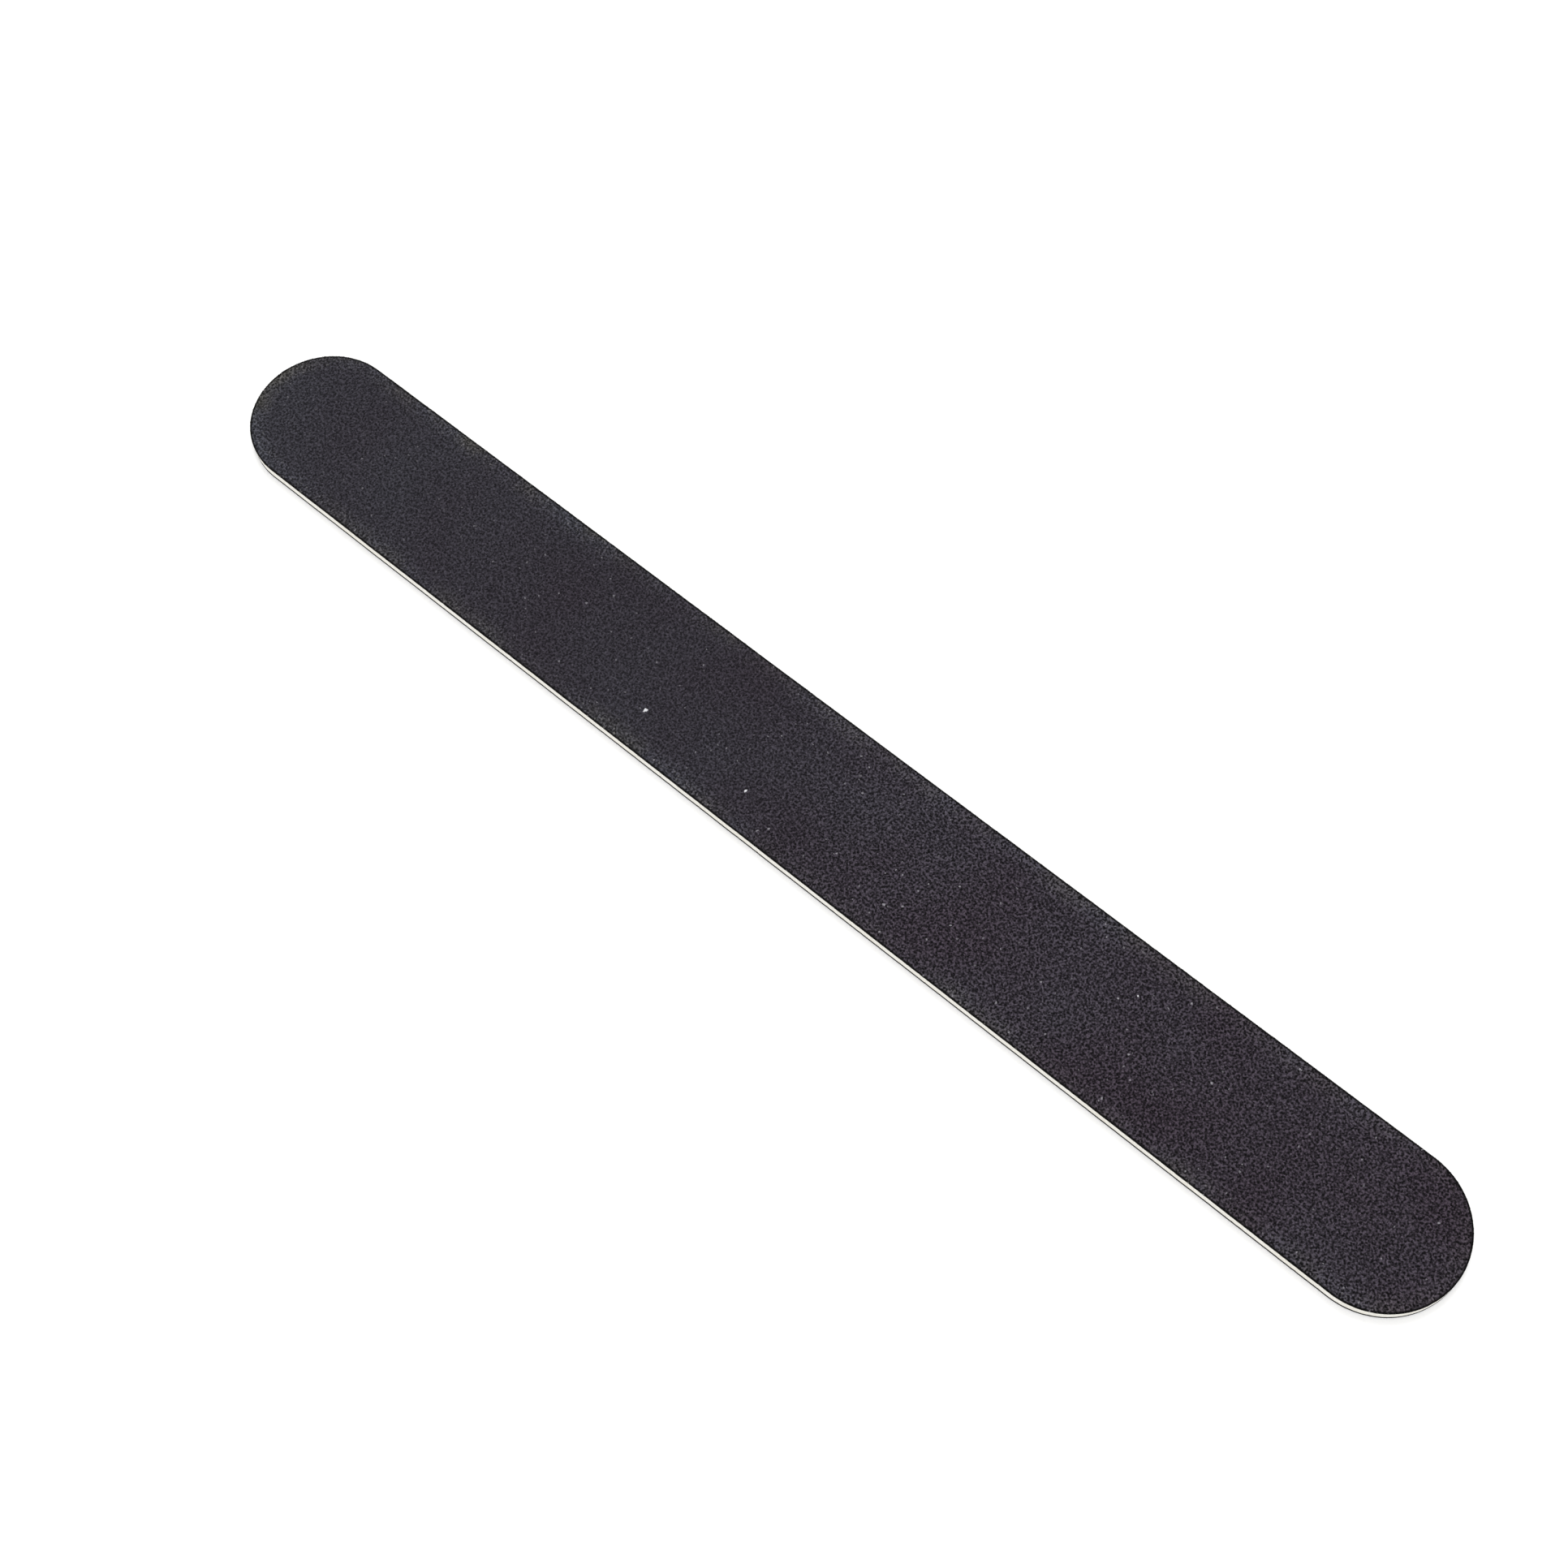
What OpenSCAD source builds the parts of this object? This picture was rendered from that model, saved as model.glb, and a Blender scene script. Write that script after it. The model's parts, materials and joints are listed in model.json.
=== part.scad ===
// Emery board: a straight double-sided nail file with full-radius ends.
// It is a flat laminate, cut in one stroke from a bonded stack, so every
// layer has the same outline. It lies on its fine face, z = 0, and is
// centred on the origin with its length along X.

/* [Outline] */
// Length from tip to tip, 7 inches
board_length = 178; // [120:1:200]
// Width across the straight sides, 3/4 inch
board_width = 19; // [12:0.5:30]

/* [Core] */
// Thickness of the ivory plastic core
core_thickness = 1.2; // [0.6:0.1:3]

/* [Abrasive sheets] */
// Thickness of the film that bonds a sheet to the core
adhesive_thickness = 0.06; // [0.03:0.01:0.15]
// Thickness of a sheet's backing paper
paper_thickness = 0.15; // [0.08:0.01:0.3]
// Thickness of the first resin coat, which the grains stand in
make_coat_thickness = 0.05; // [0.03:0.01:0.1]
// Thickness of the second resin coat, which fills in round the grains
size_coat_thickness = 0.03; // [0.02:0.01:0.06]
// Height of the coarse grains above the resin, on the upper face
coarse_grit_height = 0.13; // [0.08:0.01:0.25]
// Height of the fine grains above the resin, on the lower face
fine_grit_height = 0.09; // [0.04:0.01:0.15]

/* [Hidden] */
$fn = 96;

end_radius = board_width / 2;
end_centre = board_length / 2 - end_radius;

// A sheet's layers, from the core outwards
layers = [
    adhesive_thickness, paper_thickness, make_coat_thickness, size_coat_thickness,
];

// Height of the first count layers of a sheet
function stack_height(count) =
    count == 0 ? 0 : layers[count - 1] + stack_height(count - 1);

core_bottom = fine_grit_height + stack_height(len(layers));
core_top = core_bottom + core_thickness;

// The board's plan: straight sides and a half circle at each end
module outline() {
    square([2 * end_centre, board_width], center = true);
    for (side = [-1, 1])
        translate([side * end_centre, 0])
            circle(r = end_radius);
}

// One flat layer of the laminate, from height z up
module layer(z, thickness) {
    translate([0, 0, z])
        linear_extrude(height = thickness)
            outline();
}

// Layer number index of the upper sheet, counted from the core
module upper_layer(index) {
    layer(core_top + stack_height(index), layers[index]);
}

// Layer number index of the lower sheet, counted from the core
module lower_layer(index) {
    layer(core_bottom - stack_height(index + 1), layers[index]);
}

module core() {
    color([0.86, 0.84, 0.76]) layer(core_bottom, core_thickness);
}

module upper_adhesive() {
    color([0.72, 0.66, 0.52]) upper_layer(0);
}

module upper_backing_paper() {
    color([0.10, 0.10, 0.11]) upper_layer(1);
}

module upper_make_coat() {
    color([0.08, 0.07, 0.08]) upper_layer(2);
}

module upper_size_coat() {
    color([0.14, 0.13, 0.15]) upper_layer(3);
}

// The grain tips stand in this space. Their roots are in the two resin coats.
module upper_grit() {
    color([0.22, 0.20, 0.23])
        layer(core_top + stack_height(len(layers)), coarse_grit_height);
}

module lower_adhesive() {
    color([0.72, 0.66, 0.52]) lower_layer(0);
}

module lower_backing_paper() {
    color([0.10, 0.10, 0.11]) lower_layer(1);
}

module lower_make_coat() {
    color([0.08, 0.07, 0.08]) lower_layer(2);
}

module lower_size_coat() {
    color([0.14, 0.13, 0.15]) lower_layer(3);
}

// The face that the board lies on
module lower_grit() {
    color([0.22, 0.21, 0.24]) layer(0, fine_grit_height);
}

core();
upper_adhesive();
upper_backing_paper();
upper_make_coat();
upper_size_coat();
upper_grit();
lower_adhesive();
lower_backing_paper();
lower_make_coat();
lower_size_coat();
lower_grit();
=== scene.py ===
import json
import math
import random

import bmesh
import bpy
import numpy as np
from mathutils import Matrix, Vector, noise

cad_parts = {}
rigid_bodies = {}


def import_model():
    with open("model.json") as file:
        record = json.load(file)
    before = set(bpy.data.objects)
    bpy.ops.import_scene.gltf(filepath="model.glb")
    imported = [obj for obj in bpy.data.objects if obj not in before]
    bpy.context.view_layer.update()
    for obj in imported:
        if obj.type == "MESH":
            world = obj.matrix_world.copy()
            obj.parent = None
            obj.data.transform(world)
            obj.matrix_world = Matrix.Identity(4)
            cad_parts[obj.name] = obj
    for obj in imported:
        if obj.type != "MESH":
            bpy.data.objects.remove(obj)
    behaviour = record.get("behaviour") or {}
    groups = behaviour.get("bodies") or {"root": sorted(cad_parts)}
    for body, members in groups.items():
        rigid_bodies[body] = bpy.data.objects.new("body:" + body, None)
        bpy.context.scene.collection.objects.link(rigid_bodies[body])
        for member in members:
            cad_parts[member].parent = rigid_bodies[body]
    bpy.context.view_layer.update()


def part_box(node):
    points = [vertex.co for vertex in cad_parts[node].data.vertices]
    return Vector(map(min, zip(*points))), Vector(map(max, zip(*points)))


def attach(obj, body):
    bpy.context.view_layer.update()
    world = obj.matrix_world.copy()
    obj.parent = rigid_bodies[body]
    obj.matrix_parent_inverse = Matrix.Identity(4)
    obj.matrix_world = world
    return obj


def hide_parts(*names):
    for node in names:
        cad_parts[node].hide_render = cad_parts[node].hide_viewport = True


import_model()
print("emery board: CAD frame loaded")


# helpers for both kinds of node tree

def feed(tree, socket, value):
    if isinstance(value, bpy.types.NodeSocket):
        tree.links.new(value, socket)
    else:
        socket.default_value = value


def put(tree, kind, settings=None, **inputs):
    node = tree.nodes.new(kind)
    for name, value in (settings or {}).items():
        setattr(node, name, value)
    for name, value in inputs.items():
        feed(tree, node.inputs[name.replace("_", " ")], value)
    return node


def calc(tree, operation, *values):
    node = tree.nodes.new("ShaderNodeMath")
    node.operation = operation
    for slot, value in enumerate(values):
        feed(tree, node.inputs[slot], value)
    return node.outputs[0]


def joined(tree, x, y, z):
    return put(tree, "ShaderNodeCombineXYZ", X=x, Y=y, Z=z).outputs[0]


def apart(tree, place):
    return put(tree, "ShaderNodeSeparateXYZ", Vector=place).outputs


def spread(tree, value, fromLow, fromHigh, toLow, toHigh, how="LINEAR"):
    node = put(tree, "ShaderNodeMapRange", {"interpolation_type": how})
    for slot, given in enumerate((value, fromLow, fromHigh, toLow, toHigh)):
        feed(tree, node.inputs[slot], given)
    return node.outputs[0]


def noiseAt(tree, place, size, detail, roughness=0.5):
    # features about as wide as size, which is a number or a socket
    scale = 1 / size if isinstance(size, float) else calc(tree, "DIVIDE", 1.0, size)
    return put(tree, "ShaderNodeTexNoise", {"noise_dimensions": "3D", "normalize": True},
               Vector=place, Scale=scale, Detail=detail, Roughness=roughness).outputs


def srgb(red, green, blue):
    # 0-255 as picked on screen, to the linear colour that a socket holds
    def one(value):
        value /= 255
        return value / 12.92 if value <= 0.04045 else ((value + 0.055) / 1.055) ** 2.4
    return (one(red), one(green), one(blue), 1.0)


# the outline as the knife cut it, shared by every layer

cutEdge = {
    "step": 0.0003,             # between outline points
    "stray": 0.00003,           # how far the knife wanders in
    "strayLength": 0.004,
    "nibble": 0.00004,          # small bites where it met a grain
    "nibbleLength": 0.0005,
    "nibbleShift": (9, 4, 2),   # so that the bites don't follow the stray
}

low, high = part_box("core")
endRadius = (high.y - low.y) / 2
straight = (high.x - low.x) / 2 - endRadius


def onOutline(along):
    # the ideal outline's point and outward direction at a distance along it
    turn = math.pi * endRadius
    if along < 2 * straight:
        return Vector((along - straight, -endRadius, 0)), Vector((0, -1, 0))
    along -= 2 * straight
    if along < turn:
        angle = along / endRadius - math.pi / 2
        outward = Vector((math.cos(angle), math.sin(angle), 0))
        return Vector((straight, 0, 0)) + endRadius * outward, outward
    along -= turn
    if along < 2 * straight:
        return Vector((straight - along, endRadius, 0)), Vector((0, 1, 0))
    along -= 2 * straight
    angle = along / endRadius + math.pi / 2
    outward = Vector((math.cos(angle), math.sin(angle), 0))
    return Vector((-straight, 0, 0)) + endRadius * outward, outward


def cutOutline(values):
    around = 4 * straight + 2 * math.pi * endRadius
    count = round(around / values["step"])
    shift = Vector(values["nibbleShift"])
    shape = bmesh.new()
    ring = []
    for index in range(count):
        point, outward = onOutline(around * index / count)
        stray = 0.5 + 0.5 * noise.noise(point / values["strayLength"])
        nibble = max(0.0, noise.noise(point / values["nibbleLength"] + shift))
        inwards = values["stray"] * stray + values["nibble"] * nibble
        ring.append(shape.verts.new(point - inwards * outward))
    shape.faces.new(ring)
    mesh = bpy.data.meshes.new("cutOutline")
    shape.to_mesh(mesh)
    shape.free()
    return mesh


def outFromSpine(tree, parts):
    # the nearest point of the board's middle line, and the way straight out from it
    spine = calc(tree, "MAXIMUM", calc(tree, "MINIMUM", parts["X"], straight), -straight)
    outX = calc(tree, "SUBTRACT", parts["X"], spine)
    squares = calc(tree, "MULTIPLY_ADD", outX, outX, calc(tree, "MULTIPLY", parts["Y"], parts["Y"]))
    return spine, outX, calc(tree, "SQRT", squares)


outlineMesh = cutOutline(cutEdge)
print("outline cut:", len(outlineMesh.vertices), "points")


# how a tree starts, ends and becomes a piece

def newTree(name, sizes):
    tree = bpy.data.node_groups.new(name, "GeometryNodeTree")
    tree.interface.new_socket("Outline", in_out="INPUT", socket_type="NodeSocketGeometry")
    for label, kind in sizes.items():
        tree.interface.new_socket(label, in_out="INPUT", socket_type="NodeSocket" + kind)
    tree.interface.new_socket("Geometry", in_out="OUTPUT", socket_type="NodeSocketGeometry")
    return tree, tree.nodes.new("NodeGroupInput").outputs, tree.nodes.new("NodeGroupOutput").inputs


def pointPlace(tree):
    return put(tree, "GeometryNodeInputPosition").outputs[0]


def dress(tree, given, output, shape):
    real = put(tree, "GeometryNodeRealizeInstances", Geometry=shape).outputs[0]
    dressed = put(tree, "GeometryNodeSetMaterial", Geometry=real, Material=given["Material"])
    feed(tree, output["Geometry"], dressed.outputs[0])
    return tree


def grown(name, tree, values):
    # runs a tree on the outline and keeps the result as a plain mesh
    holder = bpy.data.objects.new(name + "Bed", outlineMesh)
    bpy.context.scene.collection.objects.link(holder)
    modifier = holder.modifiers.new(name, "NODES")
    modifier.node_group = tree
    for item in tree.interface.items_tree:
        if item.item_type == "SOCKET" and item.in_out == "INPUT" and item.name in values:
            modifier[item.identifier] = values[item.name]
    depsgraph = bpy.context.evaluated_depsgraph_get()
    mesh = bpy.data.meshes.new_from_object(holder.evaluated_get(depsgraph))
    holder.modifiers.remove(modifier)
    bpy.data.objects.remove(holder)
    mesh.name = name
    mesh.materials.clear()
    mesh.materials.append(values["Material"])
    mesh.polygons.foreach_set("material_index", [0] * len(mesh.polygons))
    piece = bpy.data.objects.new(name, mesh)
    bpy.context.scene.collection.objects.link(piece)
    return piece


def settle(piece, node):
    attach(piece, "root")
    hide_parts(node)
    mesh = piece.data
    mesh.calc_loop_triangles()
    print(piece.name, len(mesh.loop_triangles), "triangles")


def pieceName(node):
    first, *rest = node.split("_")
    return first + "".join(word.title() for word in rest)


# where the grains crowd together, for the grains and the resin, and for the painted shade in the pits and
# painted light on the ridges of their colours

crowd = {
    "bend": 1.0,            # how far the cells are pulled out of shape, in pit spacings
    "bendDetail": 1.0,
    "cells": (0.08, 0.60),  # distance from a pit's middle, in pit spacings
    "loose": (0.35, 0.66),  # level of the finer noise mixed in
    "looseSize": 0.65,      # in pit spacings
    "looseDetail": 0.6,
    "looseShare": 0.5,
    "levels": (0.15, 0.85),
}


def moved(tree, place, way, share):
    # place, moved share times along way
    part = put(tree, "ShaderNodeVectorMath", {"operation": "SCALE"}, Scale=share)
    feed(tree, part.inputs[0], way)
    total = put(tree, "ShaderNodeVectorMath", {"operation": "ADD"})
    feed(tree, total.inputs[0], place)
    feed(tree, total.inputs[1], part.outputs[0])
    return total.outputs[0]


def crowding(tree, place, length):
    # 0 in small crooked pits, 1 on the winding ridges of crowded grains between them
    pull = noiseAt(tree, place, length, crowd["bendDetail"])["Color"]
    bent = moved(tree, place, pull, calc(tree, "MULTIPLY", length, crowd["bend"]))
    cells = put(tree, "ShaderNodeTexVoronoi", {"voronoi_dimensions": "2D", "feature": "F1"},
                Vector=bent, Scale=calc(tree, "DIVIDE", 1.0, length), Randomness=1.0)
    cell = spread(tree, cells.outputs["Distance"], *crowd["cells"], 0.0, 1.0)
    looseLength = calc(tree, "MULTIPLY", length, crowd["looseSize"])
    loose = noiseAt(tree, place, looseLength, crowd["looseDetail"])[0]
    loose = spread(tree, loose, *crowd["loose"], 0.0, 1.0)
    both = calc(tree, "MULTIPLY_ADD", calc(tree, "SUBTRACT", loose, cell), crowd["looseShare"], cell)
    return spread(tree, both, *crowd["levels"], 0.0, 1.0)


# helpers for the finishes

mostNoise = (0.3, 0.7)    # most of a noise's values lie between these


def newFinish(name, values):
    finish = bpy.data.materials.new(name)
    finish.use_nodes = True
    tree = finish.node_tree
    shader = tree.nodes["Principled BSDF"]
    # the plain roughness stays on the socket, behind the pattern that is linked to it
    shader.inputs["Roughness"].default_value = values["plainRoughness"]
    shader.inputs["Specular IOR Level"].default_value = values["specular"]
    return finish, tree, shader


def ramp(tree, value, stops):
    node = tree.nodes.new("ShaderNodeValToRGB")
    feed(tree, node.inputs[0], value)
    marks = node.color_ramp.elements
    while len(marks) > 1:
        marks.remove(marks[-1])
    for index, (where, colour) in enumerate(stops):
        mark = marks[0] if index == 0 else marks.new(where)
        mark.position = where
        mark.color = colour
    return node.outputs[0]


def mixed(tree, how, share, first, second):
    node = put(tree, "ShaderNodeMix", {"data_type": "RGBA", "blend_type": how})
    feed(tree, node.inputs[0], share)
    feed(tree, node.inputs[6], first)
    feed(tree, node.inputs[7], second)
    return node.outputs[2]


def objectPlace(tree):
    return put(tree, "ShaderNodeTexCoord").outputs["Object"]


def pattern(tree, size, detail=2.0, squash=(1, 1, 1), roughness=0.5):
    # noise on Object coordinates
    mapped = put(tree, "ShaderNodeMapping", Vector=objectPlace(tree), Scale=squash)
    return noiseAt(tree, mapped.outputs[0], size, detail, roughness)[0]


def bumped(tree, shader, height, depth):
    bump = put(tree, "ShaderNodeBump", Height=height, Distance=depth, Strength=1.0)
    feed(tree, shader.inputs["Normal"], bump.outputs[0])


def attribute(tree, name):
    return put(tree, "ShaderNodeAttribute", {"attribute_name": name}).outputs["Fac"]


# the four finishes of the flat layers

ivory = {
    "cloudLength": 0.004,
    "cloud": [(0.3, srgb(246, 243, 233)), (0.7, srgb(251, 249, 242))],
    "streakWidth": 0.00022,
    "streakDetail": 3.0,
    "streakSquash": (1, 1, 0.14),    # drawn out upright
    "streakRoughness": 0.6,
    "streaks": [(0.30, srgb(214, 208, 193)), (0.55, srgb(255, 255, 255))],
    "streakShare": 0.25,
    "streakDepth": 0.000012,
    "dustWidth": 0.00013,
    "dustSquash": (1, 1, 0.5),
    "dust": [(0.70, srgb(0, 0, 0)), (0.76, srgb(255, 255, 255))],
    "dustShare": 0.5,
    "dustColour": srgb(96, 92, 88),
    "roughness": (0.62, 0.42),
    "plainRoughness": 0.5,
    "specular": 0.5,
}


def ivoryPlastic(values):
    finish, tree, shader = newFinish("ivoryPlastic", values)
    base = ramp(tree, pattern(tree, values["cloudLength"]), values["cloud"])
    # the knife leaves fine upright streaks and carries some dark dust into them
    streaks = pattern(tree, values["streakWidth"], values["streakDetail"],
                      values["streakSquash"], values["streakRoughness"])
    base = mixed(tree, "MULTIPLY", values["streakShare"], base, ramp(tree, streaks, values["streaks"]))
    dust = pattern(tree, values["dustWidth"], squash=values["dustSquash"])
    dusty = calc(tree, "MULTIPLY", ramp(tree, dust, values["dust"]), values["dustShare"])
    base = mixed(tree, "MIX", dusty, base, values["dustColour"])
    feed(tree, shader.inputs["Base Color"], base)
    feed(tree, shader.inputs["Roughness"], spread(tree, streaks, *mostNoise, *values["roughness"]))
    bumped(tree, shader, streaks, values["streakDepth"])
    return finish


amber = {
    "cloudLength": 0.0012,
    "cloud": [(0.3, srgb(120, 104, 78)), (0.7, srgb(158, 142, 112))],
    "roughness": (0.3, 0.5),
    "plainRoughness": 0.4,
    "specular": 0.5,
}


def amberFilm(values):
    finish, tree, shader = newFinish("amberFilm", values)
    cloud = pattern(tree, values["cloudLength"])
    feed(tree, shader.inputs["Base Color"], ramp(tree, cloud, values["cloud"]))
    feed(tree, shader.inputs["Roughness"], spread(tree, cloud, *mostNoise, *values["roughness"]))
    return finish


paper = {
    "fibreWidth": 0.00016,
    "fibreDetail": 3.0,
    "fibreSquash": (0.35, 0.35, 2.2),    # the fibres lie flat
    "fibreRoughness": 0.65,
    "fibres": [(0.3, srgb(10, 10, 11)), (0.55, srgb(18, 17, 19)), (0.75, srgb(34, 33, 35))],
    "fibreDepth": 0.00002,
    "roughness": (0.95, 0.8),
    "plainRoughness": 0.9,
    "specular": 0.3,
}


def blackPaper(values):
    finish, tree, shader = newFinish("blackPaper", values)
    fibres = pattern(tree, values["fibreWidth"], values["fibreDetail"],
                     values["fibreSquash"], values["fibreRoughness"])
    feed(tree, shader.inputs["Base Color"], ramp(tree, fibres, values["fibres"]))
    feed(tree, shader.inputs["Roughness"], spread(tree, fibres, *mostNoise, *values["roughness"]))
    bumped(tree, shader, fibres, values["fibreDepth"])
    return finish


makeCoat = {
    "poolLength": 0.0004,
    "poolDetail": 3.0,
    "pools": [(0.32, srgb(12, 11, 13)), (0.68, srgb(24, 22, 26))],
    "poolDepth": 0.00001,
    "roughness": (0.52, 0.7),
    "plainRoughness": 0.6,
    "specular": 0.05,
}


def makeResin(values):
    finish, tree, shader = newFinish("makeResin", values)
    pools = pattern(tree, values["poolLength"], values["poolDetail"])
    feed(tree, shader.inputs["Base Color"], ramp(tree, pools, values["pools"]))
    feed(tree, shader.inputs["Roughness"], spread(tree, pools, *mostNoise, *values["roughness"]))
    bumped(tree, shader, pools, values["poolDepth"])
    return finish


# grains and size coat share one colouring

abrasive = {
    "pitSpacing": {"upper": 0.00037, "lower": 0.00034},
    # share of the painted shade in the pits and painted light on the ridges
    "pitShadeRidgeLightShare": {"upper": 0.85, "lower": 0.75},   # the rest is each grain's own tone
    "ownTones": (0.3, 0.9),
    "tones": [(0.00, 1), (0.15, 12), (0.40, 41), (0.60, 61), (0.80, 80), (1.00, 109)],
    "midTone": 0.5,                 # the tone that contrast leaves as it is
    "lowestTone": 0.15,
    "contrast": (0.68, 1.10),       # softer towards the dustier end, at -X
    "contrastFrom": (-0.02, 0.02),
    "slate": (0.835, 0.81, 1.00, 1),
    "plum": (0.63, 0.475, 0.645, 1),
    "plumAlong": (0.0, 0.7),        # share of plum at -X and at +X
    "plumDrift": (-0.1, 0.4),
    "driftLength": 0.016,
    "wornCold": (0.76, 0.79, 0.94, 1),
    "wornWarm": (0.91, 0.87, 0.78, 1),
    "blotchLength": 0.005,
    "blotches": (0.38, 0.62),
    "wornRim": 0.0025,
    "wornShare": (1.0, 0.45),       # at -X and at +X
    "wornPatches": (0.40, 0.60),
    "wornPatchShare": (1.0, 0.3),
    "wornLift": 0.12,
    "wornSpeckle": 0.6,
    "blackRim": (0.0001, 0.0003),
}


def abrasiveColour(tree, values, side, own):
    # painted shade darkens the pits and painted light brightens the ridges, the rim is rubbed paler and
    # black at the very cut
    place = objectPlace(tree)
    parts = apart(tree, place)
    pitShadeRidgeLight = crowding(tree, place, values["pitSpacing"][side])
    drift = pattern(tree, values["driftLength"])
    plum = calc(tree, "ADD", spread(tree, parts["X"], -straight, straight, *values["plumAlong"]),
                spread(tree, drift, *mostNoise, *values["plumDrift"]))
    toCut = calc(tree, "SUBTRACT", endRadius, outFromSpine(tree, parts)[2])
    rim = calc(tree, "MULTIPLY", spread(tree, toCut, 0.0, values["wornRim"], 1.0, 0.0),
               spread(tree, drift, *values["wornPatches"], *values["wornPatchShare"]))
    rim = calc(tree, "MULTIPLY", rim, spread(tree, parts["X"], -straight, straight, *values["wornShare"]))
    tone = calc(tree, "MULTIPLY_ADD", calc(tree, "SUBTRACT", pitShadeRidgeLight, own), values["pitShadeRidgeLightShare"][side], own)
    contrast = spread(tree, parts["X"], *values["contrastFrom"], *values["contrast"], "SMOOTHSTEP")
    contrast = calc(tree, "MULTIPLY", contrast, calc(tree, "MULTIPLY_ADD", rim, values["wornSpeckle"], 1.0))
    fromMiddle = calc(tree, "SUBTRACT", tone, values["midTone"])
    tone = calc(tree, "MULTIPLY_ADD", fromMiddle, contrast, values["midTone"])
    lowest = values["lowestTone"]
    tone = calc(tree, "MULTIPLY_ADD", rim, values["wornLift"],
                calc(tree, "MULTIPLY_ADD", tone, 1 - lowest, lowest))
    tone = calc(tree, "MULTIPLY", tone, spread(tree, toCut, *values["blackRim"], 0.0, 1.0))
    base = ramp(tree, tone, [(level, srgb(grey, grey, grey)) for level, grey in values["tones"]])
    tint = mixed(tree, "MIX", plum, values["slate"], values["plum"])
    blotches = spread(tree, pattern(tree, values["blotchLength"]), *values["blotches"], 0.0, 1.0)
    worn = mixed(tree, "MIX", blotches, values["wornCold"], values["wornWarm"])
    tint = mixed(tree, "MIX", rim, tint, worn)
    return mixed(tree, "MULTIPLY", 1.0, base, tint), tone, rim, parts


# the pale and palish grains are partly lighter grains and partly painted glints, their near-white and light
# grey stand in for glints
lightAndGlintGrains = {
    "pale": 0.9999,                 # from here on up come the few pale grains
    "paleGlintColour": srgb(226, 226, 230),
    "palish": 0.9955,
    "palishGlintColour": srgb(150, 147, 153),
    "palishShare": (0.3, 1.0),
    "dusty": (0.35, 1.0),           # the palish ones stand out less at -X
    "chips": 0.955,
    "chipColour": srgb(150, 147, 145),
    "chipShare": 0.55,
    "roughness": (0.65, 0.45),      # in the pits and on the ridges
    "plainRoughness": 0.5,
    "specular": 0.10,
}


def grainFinish(side, values):
    finish, tree, shader = newFinish(side + "Grain", values)
    chance = attribute(tree, "own")
    own = spread(tree, chance, 0.0, 1.0, *abrasive["ownTones"])
    # the base carries the painted shade in the pits and the painted light on the ridges
    base, tone, rim, parts = abrasiveColour(tree, abrasive, side, own)
    # bare chips where the sheet is rubbed along its cut
    chip = calc(tree, "MULTIPLY", calc(tree, "GREATER_THAN", chance, values["chips"]),
                calc(tree, "MULTIPLY", rim, values["chipShare"]))
    base = mixed(tree, "MIX", chip, base, values["chipColour"])
    # painted glints: the few palish and pale grains are painted light grey and near-white
    rare = attribute(tree, "rare")
    palish = calc(tree, "GREATER_THAN", rare, values["palish"])
    share = spread(tree, rare, values["palish"], values["pale"], *values["palishShare"])
    share = calc(tree, "MULTIPLY", share, spread(tree, parts["X"], -straight, 0.0, *values["dusty"]))
    base = mixed(tree, "MIX", calc(tree, "MULTIPLY", palish, share), base, values["palishGlintColour"])
    pale = calc(tree, "GREATER_THAN", rare, values["pale"])
    base = mixed(tree, "MIX", pale, base, values["paleGlintColour"])
    feed(tree, shader.inputs["Base Color"], base)
    feed(tree, shader.inputs["Roughness"], spread(tree, tone, 0.0, 1.0, *values["roughness"]))
    return finish


sizeCoat = {
    "tone": 0.50,
    "shade": (0.85, 0.85, 0.85, 1),
    "rippleLength": 0.0005,
    "rippleDetail": 3.0,
    "rippleDepth": 0.00001,
    "roughness": (0.55, 0.8),
    "plainRoughness": 0.7,
    "specular": 0.05,
}


def sizeResin(side, values):
    # painted light where the grains crowd together, painted shade down in the pits between them
    finish, tree, shader = newFinish(side + "SizeResin", values)
    base, tone = abrasiveColour(tree, abrasive, side, values["tone"])[:2]
    feed(tree, shader.inputs["Base Color"], mixed(tree, "MULTIPLY", 1.0, base, values["shade"]))
    feed(tree, shader.inputs["Roughness"], spread(tree, tone, 0.0, 1.0, *values["roughness"]))
    ripples = pattern(tree, values["rippleLength"], values["rippleDetail"])
    bumped(tree, shader, ripples, values["rippleDepth"])
    return finish


finishes = {
    "core": ivoryPlastic(ivory),
    "adhesive": amberFilm(amber),
    "backing_paper": blackPaper(paper),
    "make_coat": makeResin(makeCoat),
    "upper_size_coat": sizeResin("upper", sizeCoat),
    "lower_size_coat": sizeResin("lower", sizeCoat),
    "upper_grit": grainFinish("upper", lightAndGlintGrains),
    "lower_grit": grainFinish("lower", lightAndGlintGrains),
}
print("finishes mixed")


# every piece has its own map, in strips round the board or a cell for each grain

mapMargin = {"along": 0.01, "across": 0.05}


def roundOutline(x, y):
    # share of the way round the outline, for arrays of points near it
    end = math.pi * endRadius
    angle = np.arctan2(y, np.abs(x) - straight) + math.pi / 2
    side = np.where(y < 0, x + straight, 3 * straight + end - x)
    right = 2 * straight + endRadius * angle
    left = 4 * straight + end + endRadius * (math.pi - angle)
    way = np.where(np.abs(x) < straight, side, np.where(x > 0, right, left))
    return way / (4 * straight + 2 * end)


def mapOnto(mesh, places):
    layer = mesh.uv_layers.new(name="OFBake", do_init=False)
    layer.uv.foreach_set("vector", places.astype(np.float32).ravel())


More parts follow.
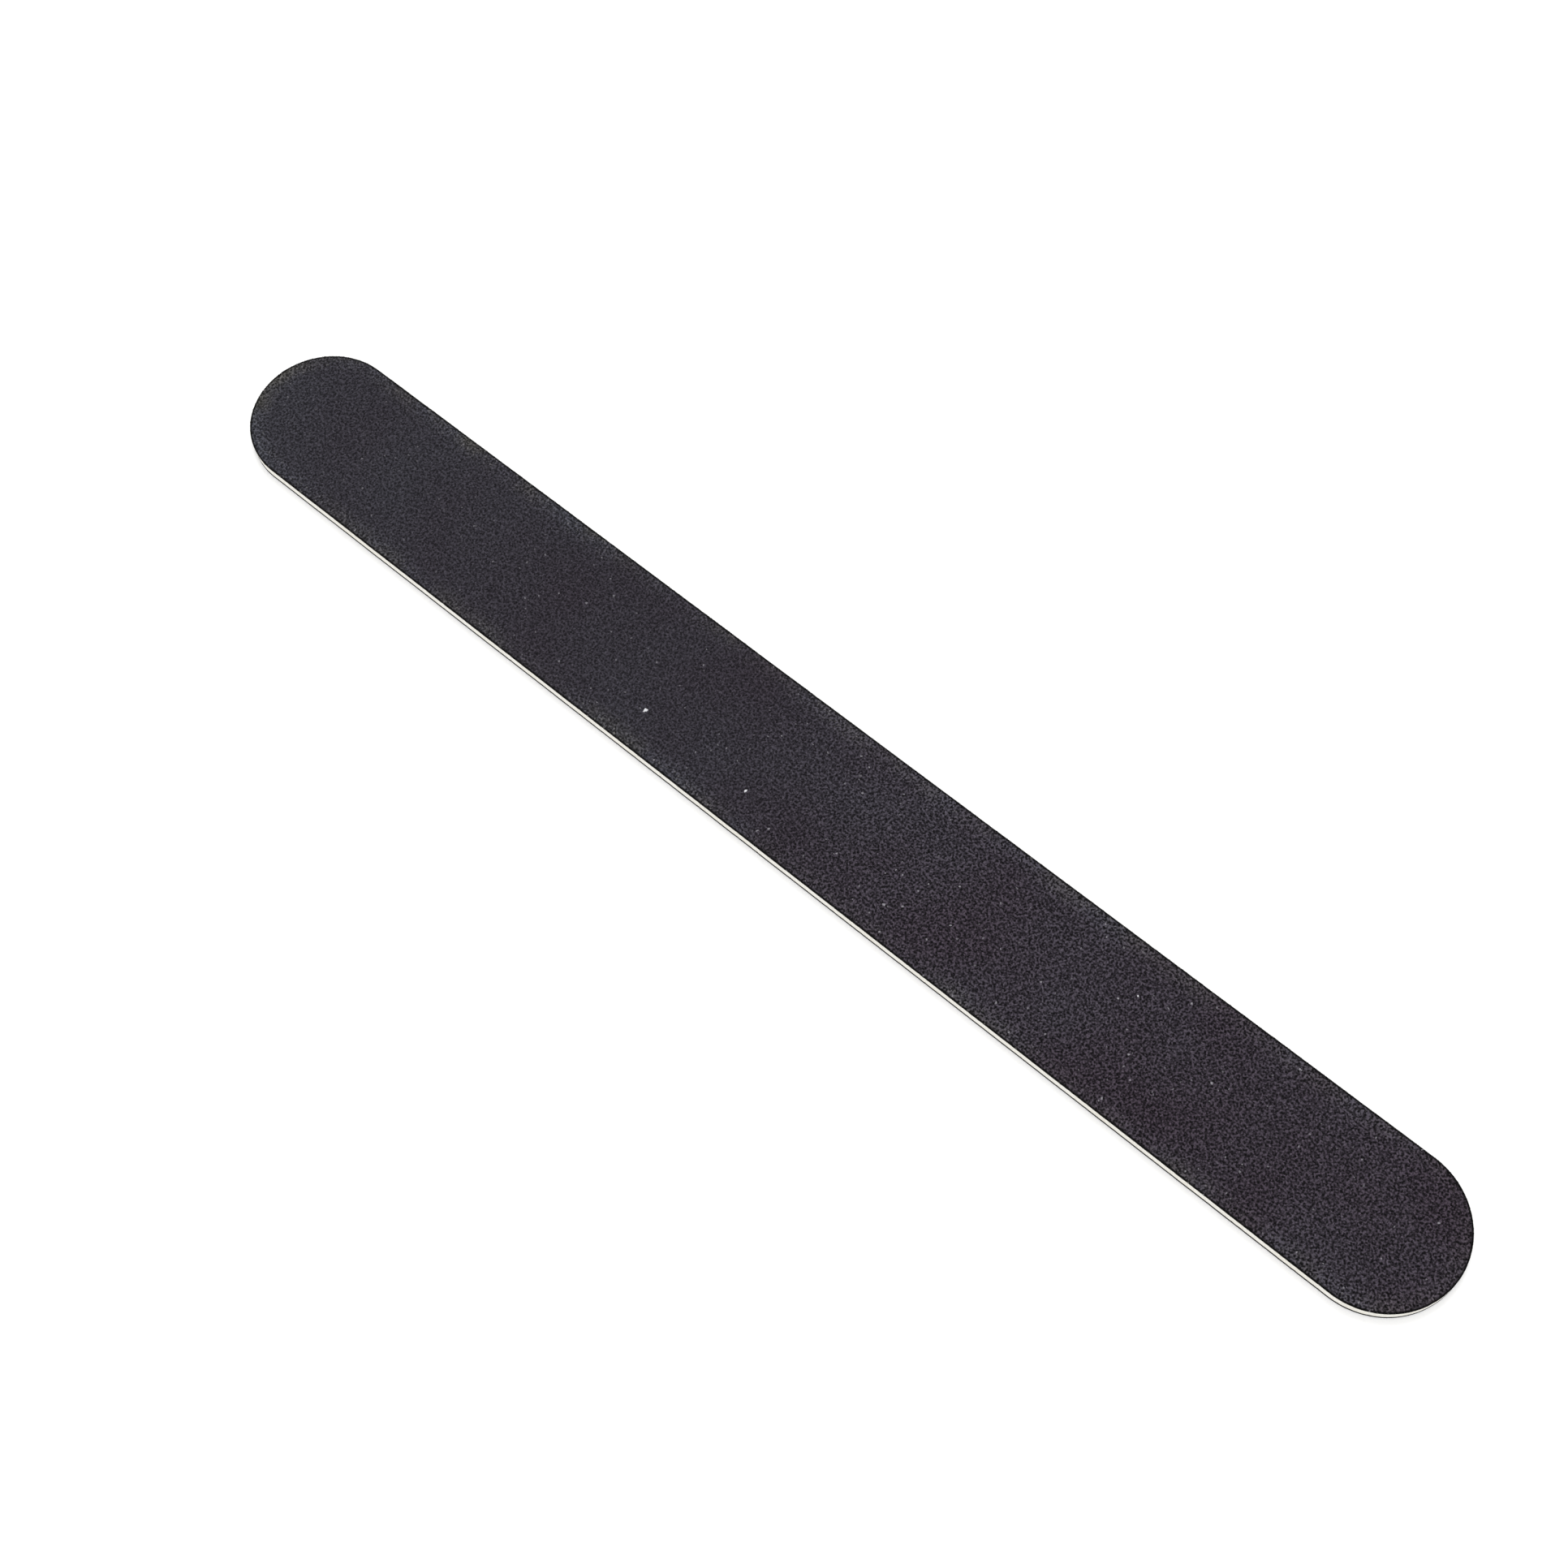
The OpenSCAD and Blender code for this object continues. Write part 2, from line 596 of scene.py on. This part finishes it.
def stripMap(piece, shares):
    # shares: for the cut edge and each face, its rows and where they start and end across the map
    mesh = piece.data
    spots = np.empty(3 * len(mesh.vertices))
    mesh.vertices.foreach_get("co", spots)
    corners = np.empty(len(mesh.loops), dtype=int)
    mesh.loops.foreach_get("vertex_index", corners)
    corner = spots.reshape(-1, 3)[corners]
    sizes, normals, centres = (np.empty(width * len(mesh.polygons)) for width in (1, 3, 3))
    mesh.polygons.foreach_get("loop_total", sizes)
    mesh.polygons.foreach_get("normal", normals)
    mesh.polygons.foreach_get("center", centres)
    face = np.repeat(np.arange(len(mesh.polygons)), sizes.astype(int))
    facing = normals.reshape(-1, 3)[face, 2]
    centre = centres.reshape(-1, 3)[face]
    low, high = corner.min(axis=0), corner.max(axis=0)
    share = (corner - low) / (high - low)
    middle = (centre - low) / (high - low)
    around = roundOutline(corner[:, 0], corner[:, 1])
    middleAround = roundOutline(centre[:, 0], centre[:, 1])
    around += np.round(middleAround - around)
    kinds = {"upper": facing > 0.5, "lower": facing < -0.5, "edge": np.abs(facing) <= 0.5}
    marginAlong, marginAcross = mapMargin["along"], mapMargin["across"]
    places = np.zeros((len(corner), 2))
    for kind, (rows, start, end) in shares.items():
        mine = kinds[kind]
        along, middleAlong, across = share[:, 0], middle[:, 0], share[:, 1]
        if kind == "edge":
            along, middleAlong, across = around, middleAround, share[:, 2]
        row = np.clip(np.floor(middleAlong * rows), 0, rows - 1)
        inRow = marginAlong + (1 - 2 * marginAlong) * (along * rows - row)
        upRow = (row + marginAcross + (1 - 2 * marginAcross) * across) / rows
        places[mine, 0] = inRow[mine]
        places[mine, 1] = (start + (end - start) * upRow)[mine]
    mapOnto(mesh, places)


# core, films, papers and make coats

layerCut = {
    "weld": 2e-7,
    "drawn": 0.12,          # how fast the streaks change up the edge, as a share of along it
    "streakDetail": 2.0,
    "streakRoughness": 0.6,
    "arrisPower": 8.0,      # the higher, the nearer to the arris the drawn-down part stays
    "map": {"edge": (12, 0.0, 0.90), "upper": (1, 0.90, 0.95), "lower": (1, 0.95, 1.0)},
}

flatLayers = {
    "core": {"slot": "core_plastic", "Rows": 8, "Set back": 0.0,
             "Arris": 0.00004, "Streak": 0.00003, "Streak length": 0.0005},
    "adhesive": {"slot": "adhesive_film", "Rows": 2, "Set back": 0.00004,
                 "Arris": 0.0, "Streak": 0.00003, "Streak length": 0.0006},
    "backing_paper": {"slot": "backing_paper", "Rows": 4, "Set back": 0.0,
                      "Arris": 0.00001, "Streak": 0.00005, "Streak length": 0.0003},
    "make_coat": {"slot": "make_resin", "Rows": 2, "Set back": 0.0,
                  "Arris": 0.0, "Streak": 0.00004, "Streak length": 0.0004},
}


def layerTree(values):
    # a flat layer: the outline pulled up in steps, with a drawn-down cut edge
    tree, given, output = newTree("cutLayer", {
        "Bottom": "Float", "Top": "Float", "Rows": "Int", "Set back": "Float",
        "Arris": "Float", "Streak": "Float", "Streak length": "Float", "Material": "Material",
    })
    height = calc(tree, "SUBTRACT", given["Top"], given["Bottom"])
    rise = calc(tree, "DIVIDE", height, given["Rows"])
    start = tree.nodes.new("GeometryNodeRepeatInput")
    end = tree.nodes.new("GeometryNodeRepeatOutput")
    start.pair_with_output(end)
    end.repeat_items.new("BOOLEAN", "Upper face")
    feed(tree, start.inputs["Iterations"], given["Rows"])
    feed(tree, start.inputs["Geometry"], given["Outline"])
    start.inputs["Upper face"].default_value = True
    step = put(tree, "GeometryNodeExtrudeMesh", {"mode": "FACES"},
               Mesh=start.outputs["Geometry"], Selection=start.outputs["Upper face"],
               Offset=joined(tree, 0, 0, rise), Offset_Scale=1.0, Individual=False)
    feed(tree, end.inputs["Geometry"], step.outputs["Mesh"])
    feed(tree, end.inputs["Upper face"], step.outputs["Top"])
    under = put(tree, "GeometryNodeFlipFaces", Mesh=given["Outline"])
    both = tree.nodes.new("GeometryNodeJoinGeometry")
    tree.links.new(end.outputs["Geometry"], both.inputs[0])
    tree.links.new(under.outputs[0], both.inputs[0])
    closed = put(tree, "GeometryNodeMergeByDistance", Geometry=both.outputs[0], Distance=values["weld"])
    # rows crowd towards the two arrises
    parts = apart(tree, pointPlace(tree))
    share = calc(tree, "DIVIDE", parts["Z"], height)
    wave = calc(tree, "COSINE", calc(tree, "MULTIPLY", share, math.pi))
    level = calc(tree, "MULTIPLY_ADD", wave, -0.5, 0.5)
    upright = calc(tree, "MULTIPLY_ADD", level, height, given["Bottom"])
    # the cut goes straight in towards the middle line
    spine, outX, reach = outFromSpine(tree, parts)
    drawn = joined(tree, parts["X"], parts["Y"], calc(tree, "MULTIPLY", upright, values["drawn"]))
    marks = noiseAt(tree, drawn, given["Streak length"], values["streakDetail"], values["streakRoughness"])
    cut = calc(tree, "MULTIPLY", marks[0], given["Streak"])
    fromMiddle = calc(tree, "ABSOLUTE", calc(tree, "MULTIPLY_ADD", level, 2.0, -1.0))
    edge = calc(tree, "POWER", fromMiddle, values["arrisPower"])
    inwards = calc(tree, "ADD", calc(tree, "ADD", cut, given["Set back"]),
                   calc(tree, "MULTIPLY", edge, given["Arris"]))
    keep = calc(tree, "SUBTRACT", 1.0, calc(tree, "DIVIDE", inwards, reach))
    newX = calc(tree, "MULTIPLY_ADD", outX, keep, spine)
    newY = calc(tree, "MULTIPLY", parts["Y"], keep)
    shaped = put(tree, "GeometryNodeSetPosition", Geometry=closed.outputs[0],
                 Position=joined(tree, newX, newY, upright))
    return dress(tree, given, output, shaped.outputs[0])


def flatPiece(name, node, layer):
    bottom, top = (corner.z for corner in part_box(node))
    values = flatLayers[layer]
    sizes = {label: value for label, value in values.items() if label != "slot"}
    piece = grown(name, cutLayer, {**sizes, "Bottom": bottom, "Top": top, "Material": finishes[layer]})
    stripMap(piece, layerCut["map"])
    settle(piece, node)


cutLayer = layerTree(layerCut)
flatPiece("ivoryCore", "core", "core")
for side in ("upper", "lower"):
    for layer in ("adhesive", "backing_paper", "make_coat"):
        node = side + "_" + layer
        flatPiece(pieceName(node), node, layer)
print("core, films, papers and make coats cut")


# the shapes that the grains are picked from

grainShapes = {
    "blocky": {"count": 8, "wide": (0.44, 0.54), "low": -0.40, "high": 0.16, "off": 0.24,
               "seed": 41, "lot": (-1.0, 0.5)},
    "sharp": {"count": 8, "wide": (0.34, 0.54), "low": -0.45, "high": 0.05, "off": 0.14,
              "seed": 42, "lot": (0.5, 2.0)},
}
cornerSway = 0.3
facets = 6


def crushedShapes(name, values):
    # lumps one unit wide and one high: four low corners and a tip, so six facets
    chance = random.Random(values["seed"])
    shelf = bpy.data.collections.new(name + "Shapes")
    off = values["off"]
    for index in range(values["count"]):
        good = False
        while not good:
            shape = bmesh.new()
            shape.verts.new((chance.uniform(-off, off), chance.uniform(-off, off), 0.5))
            for corner in range(4):
                angle = math.pi / 2 * (corner + chance.uniform(-cornerSway, cornerSway))
                wide = chance.uniform(*values["wide"])
                level = chance.uniform(values["low"], values["high"])
                shape.verts.new((wide * math.cos(angle), wide * math.sin(angle), level))
            bmesh.ops.convex_hull(shape, input=shape.verts)
            bmesh.ops.triangulate(shape, faces=shape.faces)
            good = len(shape.faces) == facets and len(shape.verts) == 5
            if good:
                bmesh.ops.recalc_face_normals(shape, faces=shape.faces)
                mesh = bpy.data.meshes.new(name + "Grain%02d" % index)
                shape.to_mesh(mesh)
            shape.free()
        shelf.objects.link(bpy.data.objects.new(mesh.name, mesh))
    return shelf


# grains, and the resin that they stand in

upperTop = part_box("upper_grit")[1].z
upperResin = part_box("upper_grit")[0].z
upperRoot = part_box("upper_make_coat")[0].z
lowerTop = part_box("lower_grit")[0].z
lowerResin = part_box("lower_grit")[1].z
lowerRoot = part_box("lower_make_coat")[1].z

upperGrain = {
    "Spacing": 0.00017, "Bare": 0.2, "Pit spacing": abrasive["pitSpacing"]["upper"],
    "Width": 0.00037, "Width spread": 0.3, "Height": 0.00018, "Height spread": 0.15,
    "Seat": upperResin + 0.00002, "Seat spread": 0.000012, "Sink": -0.00003, "Light lift": 0.00001,
    "Crushed rim": 0.0002, "Tilt": 0.4, "Turn over": 0.0,
    "Lowest": upperRoot, "Highest": upperTop, "Seed": 5,
}
lowerGrain = {
    "Spacing": 0.000172, "Bare": 0.15, "Pit spacing": abrasive["pitSpacing"]["lower"],
    "Width": 0.00027, "Width spread": 0.25, "Height": 0.00014, "Height spread": 0.15,
    "Seat": lowerResin - 0.000014, "Seat spread": 0.00001, "Sink": 0.00002, "Light lift": -0.00001,
    "Crushed rim": 0.0002, "Tilt": 0.4, "Turn over": math.pi,
    "Lowest": lowerTop, "Highest": lowerRoot, "Seed": 7,
}
grainLaying = {
    "tries": 5.0,           # seats offered for each square of the spacing
    "narrowest": 0.72,      # width across, as a share of the width along
    "paleGrowth": 0.7,
    "facetOnMap": [(0.2, 0.2), (0.8, 0.25), (0.4, 0.8)],
}
# what each random draw adds to the seed
draw = {"leanX": 3, "leanY": 4, "turn": 5, "width": 6, "narrow": 7, "height": 8, "shape": 9,
        "seat": 11, "own": 21, "rare": 23, "lot": 31}


def randomOf(tree, kind, low, high, seed, what):
    node = put(tree, "FunctionNodeRandomValue", {"data_type": kind})
    usable = {s.name: s for s in node.inputs if s.enabled}
    feed(tree, usable["Min"], low)
    feed(tree, usable["Max"], high)
    feed(tree, usable["Seed"], calc(tree, "ADD", seed, float(draw[what])))
    return next(s for s in node.outputs if s.enabled)


def moreOrLess(tree, middle, share, seed, what):
    # middle, more or less by a random part of share
    low = calc(tree, "SUBTRACT", 1.0, share)
    high = calc(tree, "ADD", 1.0, share)
    return calc(tree, "MULTIPLY", middle, randomOf(tree, "FLOAT", low, high, seed, what))


def eitherWay(tree, reach, seed, what):
    return randomOf(tree, "FLOAT", calc(tree, "MULTIPLY", reach, -1.0), reach, seed, what)


def toOutline(tree, given, target):
    # nearest point of the outline's face or edge to the spot straight below or above
    parts = apart(tree, pointPlace(tree))
    near = put(tree, "GeometryNodeProximity", {"target_element": target})
    feed(tree, near.inputs[0], given["Outline"])
    feed(tree, near.inputs["Sample Position"], joined(tree, parts["X"], parts["Y"], 0))
    return near.outputs, parts


def grainTree(values):
    # crushed grains on the outline, tips outwards, trimmed where the knife went through
    tree, given, output = newTree("grains", {
        "Shapes": "Collection", "Shape count": "Int", "From": "Float", "To": "Float",
        "Spacing": "Float", "Bare": "Float", "Pit spacing": "Float",
        "Width": "Float", "Width spread": "Float", "Height": "Float", "Height spread": "Float",
        "Seat": "Float", "Seat spread": "Float", "Sink": "Float", "Light lift": "Float",
        "Crushed rim": "Float", "Tilt": "Float", "Turn over": "Float",
        "Lowest": "Float", "Highest": "Float",
        "Pale from": "Float", "Palish from": "Float", "Seed": "Int", "Material": "Material",
    })
    seed = given["Seed"]
    hollow = calc(tree, "SUBTRACT", 1.0, crowding(tree, pointPlace(tree), given["Pit spacing"]))
    kept = calc(tree, "SUBTRACT", 1.0, calc(tree, "MULTIPLY", hollow, given["Bare"]))
    square = calc(tree, "MULTIPLY", given["Spacing"], given["Spacing"])
    seats = put(tree, "GeometryNodeDistributePointsOnFaces", {"distribute_method": "POISSON"},
                Mesh=given["Outline"], Distance_Min=given["Spacing"],
                Density_Max=calc(tree, "DIVIDE", values["tries"], square),
                Density_Factor=kept, Seed=seed).outputs["Points"]
    # the blade crushes and sinks the grains next to its cut
    toEdge = toOutline(tree, given, "EDGES")[0]["Distance"]
    crushed = spread(tree, toEdge, 0.0, given["Crushed rim"], 1.0, 0.0)
    sunk = calc(tree, "MULTIPLY", given["Sink"], calc(tree, "MAXIMUM", hollow, crushed))
    # the few light grains lie uppermost, the palest also larger
    rare = randomOf(tree, "FLOAT", 0.0, 1.0, seed, "rare")
    pale = calc(tree, "GREATER_THAN", rare, given["Pale from"])
    palish = calc(tree, "GREATER_THAN", rare, given["Palish from"])
    out = calc(tree, "MULTIPLY", given["Light lift"], calc(tree, "ADD", pale, palish))
    seat = calc(tree, "ADD", given["Seat"], eitherWay(tree, given["Seat spread"], seed, "seat"))
    seat = calc(tree, "ADD", calc(tree, "ADD", seat, sunk), out)
    lifted = put(tree, "GeometryNodeSetPosition", Geometry=seats, Offset=joined(tree, 0, 0, seat))
    shapes = put(tree, "GeometryNodeCollectionInfo", Collection=given["Shapes"],
                 Separate_Children=True, Reset_Children=True)
    leanX = calc(tree, "ADD", eitherWay(tree, given["Tilt"], seed, "leanX"), given["Turn over"])
    leanY = eitherWay(tree, given["Tilt"], seed, "leanY")
    turn = randomOf(tree, "FLOAT", 0.0, 2 * math.pi, seed, "turn")
    wide = moreOrLess(tree, given["Width"], given["Width spread"], seed, "width")
    wide = calc(tree, "MULTIPLY", wide, calc(tree, "MULTIPLY_ADD", pale, values["paleGrowth"], 1.0))
    narrow = calc(tree, "MULTIPLY", wide, randomOf(tree, "FLOAT", values["narrowest"], 1.0, seed, "narrow"))
    tall = moreOrLess(tree, given["Height"], given["Height spread"], seed, "height")
    pick = randomOf(tree, "INT", 0, calc(tree, "SUBTRACT", given["Shape count"], 1.0), seed, "shape")
    # each piece takes its own share of the same seats
    lot = randomOf(tree, "FLOAT", 0.0, 1.0, seed, "lot")
    mine = calc(tree, "MULTIPLY", calc(tree, "GREATER_THAN", lot, given["From"]),
                calc(tree, "LESS_THAN", lot, given["To"]))
    laid = put(tree, "GeometryNodeInstanceOnPoints", Points=lifted.outputs[0], Selection=mine,
               Instance=shapes.outputs[0], Pick_Instance=True, Instance_Index=pick,
               Rotation=joined(tree, leanX, leanY, turn), Scale=joined(tree, wide, narrow, tall))
    marked = laid.outputs[0]
    own = randomOf(tree, "FLOAT", 0.0, 1.0, seed, "own")
    for name, value in (("own", own), ("rare", rare)):
        marked = put(tree, "GeometryNodeStoreNamedAttribute", {"data_type": "FLOAT", "domain": "INSTANCE"},
                     Geometry=marked, Name=name, Value=value).outputs[0]
    # the knife can only trim real corners
    real = put(tree, "GeometryNodeRealizeInstances", Geometry=marked).outputs[0]
    inside, parts = toOutline(tree, given, "FACES")
    kerb = apart(tree, inside["Position"])
    level = calc(tree, "MAXIMUM", calc(tree, "MINIMUM", parts["Z"], given["Highest"]), given["Lowest"])
    trimmed = put(tree, "GeometryNodeSetPosition", Geometry=real,
                  Position=joined(tree, kerb["X"], kerb["Y"], level))
    return dress(tree, given, output, trimmed.outputs[0])


def cellMap(piece):
    # each grain has a small square of the map to itself
    corners = 3 * facets
    count = len(piece.data.loops) // corners
    perRow = math.ceil(math.sqrt(count))
    local = np.tile(np.array(grainLaying["facetOnMap"]), (facets, 1))
    number = np.arange(count)
    cell = np.stack([number % perRow, number // perRow], 1)
    mapOnto(piece.data, (cell[:, None, :] + local[None, :, :]) / perRow)


def grainPiece(name, node, values, kind):
    start, end = grainShapes[kind]["lot"]
    piece = grown(name, grains, {
        **values, "Shapes": shapes[kind], "Shape count": grainShapes[kind]["count"],
        "From": start, "To": end, "Pale from": lightAndGlintGrains["pale"],
        "Palish from": lightAndGlintGrains["palish"], "Material": finishes[node],
    })
    cellMap(piece)
    settle(piece, node)


resinBed = {
    "step": 0.00025,
    "swell": 0.000012,
    "map": {"shown": (3, 0.0, 0.90), "edge": (1, 0.90, 0.95), "hidden": (1, 0.95, 1.0)},
}


def resinTree():
    # the open side of a resin coat, which stands higher where the grains crowd together
    tree, given, output = newTree("resinBed", {
        "Step": "Float", "Level": "Float", "Swell": "Float", "Pit spacing": "Float",
        "Material": "Material",
    })
    length, width = 2 * (straight + endRadius), 2 * endRadius
    grid = put(tree, "GeometryNodeMeshGrid", Size_X=length, Size_Y=width,
               Vertices_X=calc(tree, "DIVIDE", length, given["Step"]),
               Vertices_Y=calc(tree, "DIVIDE", width, given["Step"])).outputs["Mesh"]
    place = pointPlace(tree)
    parts = apart(tree, place)
    # the square ends of the grid are pressed into half discs
    sideX = calc(tree, "SIGN", parts["X"])
    farX = calc(tree, "ABSOLUTE", parts["X"])
    pastStraight = calc(tree, "MAXIMUM", calc(tree, "SUBTRACT", farX, straight), 0.0)
    along = calc(tree, "DIVIDE", pastStraight, endRadius)
    across = calc(tree, "DIVIDE", parts["Y"], endRadius)

    def pressed(value):
        # a square's side comes in to the circle as the other way nears its end
        squared = calc(tree, "MULTIPLY", value, value)
        return calc(tree, "SQRT", calc(tree, "MULTIPLY_ADD", squared, -0.5, 1.0))

    newFar = calc(tree, "MULTIPLY_ADD", calc(tree, "MULTIPLY", along, pressed(across)), endRadius,
                  calc(tree, "MINIMUM", farX, straight))
    newY = calc(tree, "MULTIPLY", parts["Y"], pressed(along))
    rounded = put(tree, "GeometryNodeSetPosition", Geometry=grid,
                  Position=joined(tree, calc(tree, "MULTIPLY", newFar, sideX), newY, 0)).outputs[0]
    inside = toOutline(tree, given, "FACES")[0]["Position"]
    trimmed = put(tree, "GeometryNodeSetPosition", Geometry=rounded, Position=inside).outputs[0]
    swell = calc(tree, "MULTIPLY", crowding(tree, place, given["Pit spacing"]), given["Swell"])
    raised = put(tree, "GeometryNodeSetPosition", Geometry=trimmed,
                 Offset=joined(tree, 0, 0, calc(tree, "ADD", swell, given["Level"])))
    return dress(tree, given, output, raised.outputs[0])


def resinPiece(node, pitSpacing, facing):
    bottom, top = (corner.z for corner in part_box(node))
    level, floor = (top, bottom) if facing > 0 else (bottom, top)
    swell = resinBed["swell"] * facing
    piece = grown(pieceName(node), bed, {
        "Step": resinBed["step"], "Swell": swell, "Level": level - swell,
        "Pit spacing": pitSpacing, "Material": finishes[node],
    })
    # the sides and the back that make it a closed slab
    shape = bmesh.new()
    shape.from_mesh(piece.data)
    rim = [edge for edge in shape.edges if edge.is_boundary]
    walls = bmesh.ops.extrude_edge_only(shape, edges=rim)["geom"]
    for corner in walls:
        if isinstance(corner, bmesh.types.BMVert):
            corner.co.z = floor
    back = [edge for edge in walls if isinstance(edge, bmesh.types.BMEdge) and edge.is_boundary]
    bmesh.ops.edgeloop_fill(shape, edges=back)
    bmesh.ops.recalc_face_normals(shape, faces=shape.faces)
    shape.to_mesh(piece.data)
    shape.free()
    shown, hidden = ("upper", "lower") if facing > 0 else ("lower", "upper")
    shares = resinBed["map"]
    stripMap(piece, {shown: shares["shown"], hidden: shares["hidden"], "edge": shares["edge"]})
    settle(piece, node)


sheets = {
    "upper": {"facing": 1, "slot": "coarse_grain", "grain": upperGrain},
    "lower": {"facing": -1, "slot": "fine_grain", "grain": lowerGrain},
}

shapes = {name: crushedShapes(name, values) for name, values in grainShapes.items()}
grains = grainTree(grainLaying)
bed = resinTree()
for side, sheet in sheets.items():
    resinPiece(side + "_size_coat", sheet["grain"]["Pit spacing"], sheet["facing"])
for side, sheet in sheets.items():
    for kind in grainShapes:
        grainPiece(side + kind.title() + "Grains", side + "_grit", sheet["grain"], kind)
# the loose lumps have done their work
for shelf in shapes.values():
    for lump in list(shelf.objects):
        bpy.data.objects.remove(lump)
    bpy.data.collections.remove(shelf)
print("resin and grains laid")


# floor, lamps and camera

studio = {
    "floorSize": 4.0,
    "floorColour": (0.80, 0.80, 0.80, 1),
    "floorGlow": {"near": 0.30, "far": 0.50, "from": 0.25, "to": 1.2},
    "skyStrength": 0.70,
    "lamps": {
        "keyLamp": {"place": (-0.30, 0.50, 1.30), "size": 0.5, "power": 5.0},
        "fillLamp": {"place": (0.60, -0.30, 1.00), "size": 0.9, "power": 1.8},
        "frontLamp": {"place": (-0.10, -0.85, 0.40), "size": 0.6, "power": 1.4},
    },
}
white = (1, 1, 1, 1)


def backgroundShare(tree):
    path = tree.nodes.new("ShaderNodeLightPath").outputs
    seen = calc(tree, "MAXIMUM", path["Is Camera Ray"], path["Is Glossy Ray"])
    return calc(tree, "MAXIMUM", seen, path["Is Transmission Ray"])


def paleFloor(values):
    half = values["floorSize"] / 2
    corners = [(-half, -half, 0), (half, -half, 0), (half, half, 0), (-half, half, 0)]
    mesh = bpy.data.meshes.new("paleFloor")
    mesh.from_pydata(corners, [], [(0, 1, 2, 3)])
    floor = bpy.data.objects.new("paleFloor", mesh)
    bpy.context.scene.collection.objects.link(floor)
    finish = bpy.data.materials.new("palePaper")
    finish.use_nodes = True
    tree = finish.node_tree
    tree.nodes.clear()
    matt = put(tree, "ShaderNodeBsdfDiffuse", Color=values["floorColour"])
    # more glow further out, where the lamps reach less
    away = put(tree, "ShaderNodeVectorMath", {"operation": "LENGTH"})
    feed(tree, away.inputs[0], objectPlace(tree))
    given = values["floorGlow"]
    level = spread(tree, away.outputs["Value"], given["from"], given["to"], given["near"], given["far"])
    glow = put(tree, "ShaderNodeEmission", Color=white,
               Strength=calc(tree, "MULTIPLY", backgroundShare(tree), level))
    both = tree.nodes.new("ShaderNodeAddShader")
    tree.links.new(matt.outputs[0], both.inputs[0])
    tree.links.new(glow.outputs[0], both.inputs[1])
    out = tree.nodes.new("ShaderNodeOutputMaterial")
    tree.links.new(both.outputs[0], out.inputs[0])
    mesh.materials.append(finish)


def studioLight(values):
    world = bpy.data.worlds.new("softRoom")
    bpy.context.scene.world = world
    world.use_nodes = True
    tree = world.node_tree
    tree.nodes.clear()
    strength = spread(tree, backgroundShare(tree), 0.0, 1.0, values["skyStrength"], 1.0)
    sky = put(tree, "ShaderNodeBackground", Color=white, Strength=strength)
    out = tree.nodes.new("ShaderNodeOutputWorld")
    tree.links.new(sky.outputs[0], out.inputs[0])
    for name, lamp in values["lamps"].items():
        light = bpy.data.lights.new(name, "AREA")
        light.shape = "DISK"
        light.size = lamp["size"]
        light.energy = lamp["power"]
        holder = bpy.data.objects.new(name, light)
        holder.location = lamp["place"]
        holder.rotation_euler = Vector(lamp["place"]).to_track_quat("Z", "Y").to_euler()
        bpy.context.scene.collection.objects.link(holder)


view = {
    # fitted to the board's outline as it lies in the picture
    "place": (0.08324, -0.08104, 0.25710),
    "right": (0.75682, 0.65165, -0.05076),
    "up": (-0.57807, 0.70356, 0.41333),
    "back": (0.30506, -0.28347, 0.90917),
    "lens": 55.9,
    "sensor": 36,
    "clip": (0.01, 20),
}


def aimCamera(values):
    lens = bpy.data.cameras.new("viewCamera")
    lens.lens = values["lens"]
    lens.sensor_width = values["sensor"]
    lens.clip_start, lens.clip_end = values["clip"]
    camera = bpy.data.objects.new("viewCamera", lens)
    turn = Matrix((values["right"], values["up"], values["back"])).transposed()
    camera.matrix_world = Matrix.Translation(values["place"]) @ turn.to_4x4()
    bpy.context.scene.collection.objects.link(camera)
    bpy.context.scene.camera = camera


paleFloor(studio)
studioLight(studio)
aimCamera(view)
bpy.context.scene.view_settings.view_transform = "Standard"
print("floor, lamps and camera placed")
